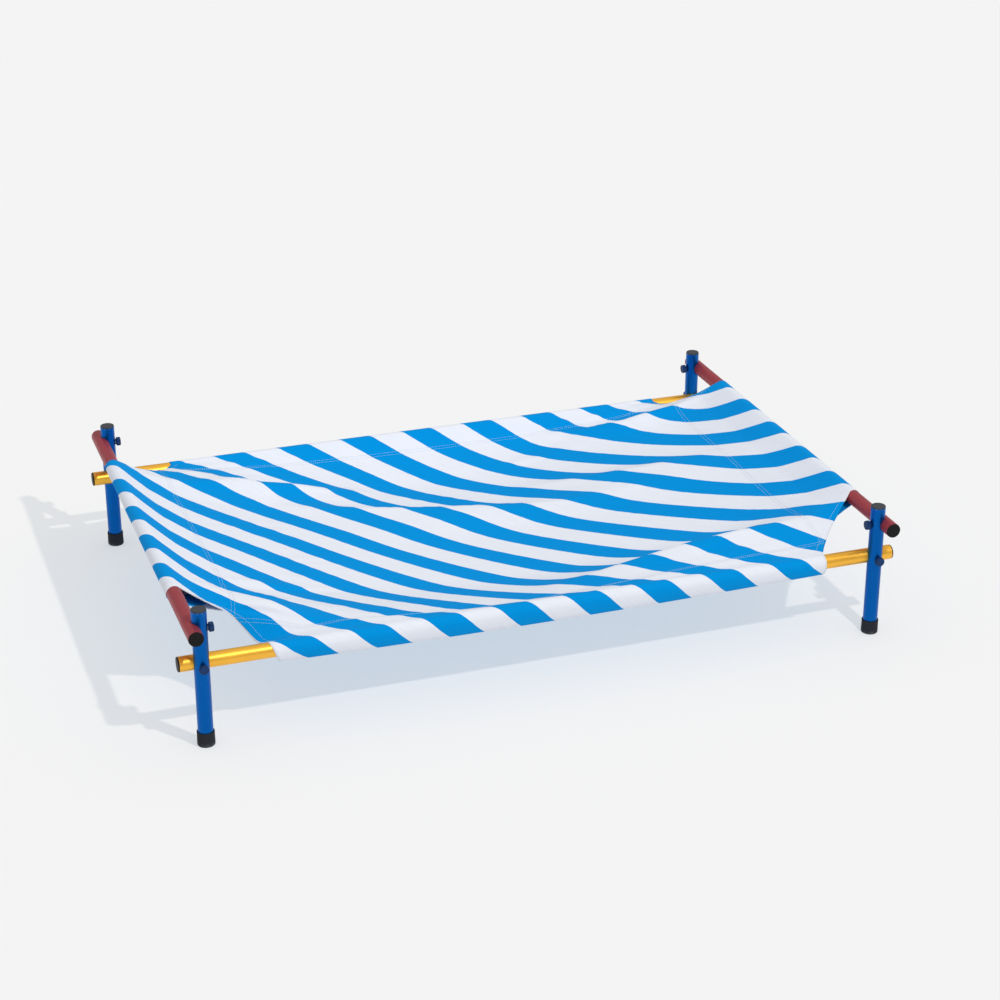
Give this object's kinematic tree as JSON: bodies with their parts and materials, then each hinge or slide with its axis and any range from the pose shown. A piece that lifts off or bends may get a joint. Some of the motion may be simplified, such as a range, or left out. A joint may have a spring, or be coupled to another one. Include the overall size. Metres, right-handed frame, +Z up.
{
  "type": "dog bed with frame",
  "caption": "Raised dog bed: a striped canvas sling with four sewn sleeves, stretched on two low side rails and two high end rails that screw to upright tube legs.",
  "frame": {"origin": "middle of the bed, on the floor that its four feet stand on", "axes": "+X along the bed's long side, +Y along its short side from front to back, +Z up"},
  "size_m": [1.094, 0.754, 0.211],
  "materials": {
    "canvas": "matte",
    "blue_tube": "satin",
    "red_tube": "matte",
    "gold_tube": "satin",
    "black_plug": "matte",
    "foot_rubber": "matte",
    "knob_blue": "satin",
    "zinc": "satin"
  },
  "bodies": {
    "frame": {"sling": "canvas", "end_rail_left": "red_tube", "end_rail_right": "red_tube", "side_rail_front": "gold_tube", "side_rail_back": "gold_tube", "leg_front_left": "blue_tube", "leg_front_right": "blue_tube", "leg_back_left": "blue_tube", "leg_back_right": "blue_tube", "leg_cap_front_left": "black_plug", "leg_cap_front_right": "black_plug", "leg_cap_back_left": "black_plug", "leg_cap_back_right": "black_plug", "foot_front_left": "foot_rubber", "foot_front_right": "foot_rubber", "foot_back_left": "foot_rubber", "foot_back_right": "foot_rubber", "end_rail_cap_front_left": "black_plug", "end_rail_cap_front_right": "black_plug", "end_rail_cap_back_left": "black_plug", "end_rail_cap_back_right": "black_plug", "side_rail_cap_front_left": "black_plug", "side_rail_cap_front_right": "black_plug", "side_rail_cap_back_left": "black_plug", "side_rail_cap_back_right": "black_plug", "end_insert_front_left": "zinc", "end_insert_front_right": "zinc", "end_insert_back_left": "zinc", "end_insert_back_right": "zinc", "side_insert_front_left": "zinc", "side_insert_front_right": "zinc", "side_insert_back_left": "zinc", "side_insert_back_right": "zinc"},
    "end_screw_front_left": {"end_stud_front_left": "zinc"},
    "end_knob_front_left": {"end_knob_front_left": "knob_blue"},
    "end_screw_front_right": {"end_stud_front_right": "zinc"},
    "end_knob_front_right": {"end_knob_front_right": "knob_blue"},
    "end_screw_back_left": {"end_stud_back_left": "zinc"},
    "end_knob_back_left": {"end_knob_back_left": "knob_blue"},
    "end_screw_back_right": {"end_stud_back_right": "zinc"},
    "end_knob_back_right": {"end_knob_back_right": "knob_blue"},
    "side_screw_front_left": {"side_stud_front_left": "zinc"},
    "side_knob_front_left": {"side_knob_front_left": "knob_blue"},
    "side_screw_front_right": {"side_stud_front_right": "zinc"},
    "side_knob_front_right": {"side_knob_front_right": "knob_blue"},
    "side_screw_back_left": {"side_stud_back_left": "zinc"},
    "side_knob_back_left": {"side_knob_back_left": "knob_blue"},
    "side_screw_back_right": {"side_stud_back_right": "zinc"},
    "side_knob_back_right": {"side_knob_back_right": "knob_blue"}
  },
  "joints": [
    {"name": "end_screw_front_left_travel", "type": "slide", "parent": "frame", "child": "end_screw_front_left", "axis": [1, 0, 0], "range_m": [0, 0.008]},
    {"name": "end_knob_front_left_turn", "type": "hinge", "parent": "end_screw_front_left", "child": "end_knob_front_left", "pos_m": [-0.515, -0.345, 0.181], "axis": [1, 0, 0], "range_deg": [0, 2880]},
    {"name": "end_screw_front_right_travel", "type": "slide", "parent": "frame", "child": "end_screw_front_right", "axis": [-1, 0, 0], "range_m": [0, 0.008]},
    {"name": "end_knob_front_right_turn", "type": "hinge", "parent": "end_screw_front_right", "child": "end_knob_front_right", "pos_m": [0.515, -0.345, 0.181], "axis": [-1, 0, 0], "range_deg": [0, 2880]},
    {"name": "end_screw_back_left_travel", "type": "slide", "parent": "frame", "child": "end_screw_back_left", "axis": [1, 0, 0], "range_m": [0, 0.008]},
    {"name": "end_knob_back_left_turn", "type": "hinge", "parent": "end_screw_back_left", "child": "end_knob_back_left", "pos_m": [-0.515, 0.345, 0.181], "axis": [1, 0, 0], "range_deg": [0, 2880]},
    {"name": "end_screw_back_right_travel", "type": "slide", "parent": "frame", "child": "end_screw_back_right", "axis": [-1, 0, 0], "range_m": [0, 0.008]},
    {"name": "end_knob_back_right_turn", "type": "hinge", "parent": "end_screw_back_right", "child": "end_knob_back_right", "pos_m": [0.515, 0.345, 0.181], "axis": [-1, 0, 0], "range_deg": [0, 2880]},
    {"name": "side_screw_front_left_travel", "type": "slide", "parent": "frame", "child": "side_screw_front_left", "axis": [0, -1, 0], "range_m": [0, 0.008]},
    {"name": "side_knob_front_left_turn", "type": "hinge", "parent": "side_screw_front_left", "child": "side_knob_front_left", "pos_m": [-0.515, -0.345, 0.125], "axis": [0, -1, 0], "range_deg": [0, 2880]},
    {"name": "side_screw_front_right_travel", "type": "slide", "parent": "frame", "child": "side_screw_front_right", "axis": [0, -1, 0], "range_m": [0, 0.008]},
    {"name": "side_knob_front_right_turn", "type": "hinge", "parent": "side_screw_front_right", "child": "side_knob_front_right", "pos_m": [0.515, -0.345, 0.125], "axis": [0, -1, 0], "range_deg": [0, 2880]},
    {"name": "side_screw_back_left_travel", "type": "slide", "parent": "frame", "child": "side_screw_back_left", "axis": [0, 1, 0], "range_m": [0, 0.008]},
    {"name": "side_knob_back_left_turn", "type": "hinge", "parent": "side_screw_back_left", "child": "side_knob_back_left", "pos_m": [-0.515, 0.345, 0.125], "axis": [0, 1, 0], "range_deg": [0, 2880]},
    {"name": "side_screw_back_right_travel", "type": "slide", "parent": "frame", "child": "side_screw_back_right", "axis": [0, 1, 0], "range_m": [0, 0.008]},
    {"name": "side_knob_back_right_turn", "type": "hinge", "parent": "side_screw_back_right", "child": "side_knob_back_right", "pos_m": [0.515, 0.345, 0.125], "axis": [0, 1, 0], "range_deg": [0, 2880]}
  ],
  "couplings": [
    {"joint": "end_knob_front_left_turn", "follows": "end_screw_front_left_travel", "rad_per_m": 6283.2},
    {"joint": "end_knob_front_right_turn", "follows": "end_screw_front_right_travel", "rad_per_m": 6283.2},
    {"joint": "end_knob_back_left_turn", "follows": "end_screw_back_left_travel", "rad_per_m": 6283.2},
    {"joint": "end_knob_back_right_turn", "follows": "end_screw_back_right_travel", "rad_per_m": 6283.2},
    {"joint": "side_knob_front_left_turn", "follows": "side_screw_front_left_travel", "rad_per_m": 6283.2},
    {"joint": "side_knob_front_right_turn", "follows": "side_screw_front_right_travel", "rad_per_m": 6283.2},
    {"joint": "side_knob_back_left_turn", "follows": "side_screw_back_left_travel", "rad_per_m": 6283.2},
    {"joint": "side_knob_back_right_turn", "follows": "side_screw_back_right_travel", "rad_per_m": 6283.2}
  ]
}
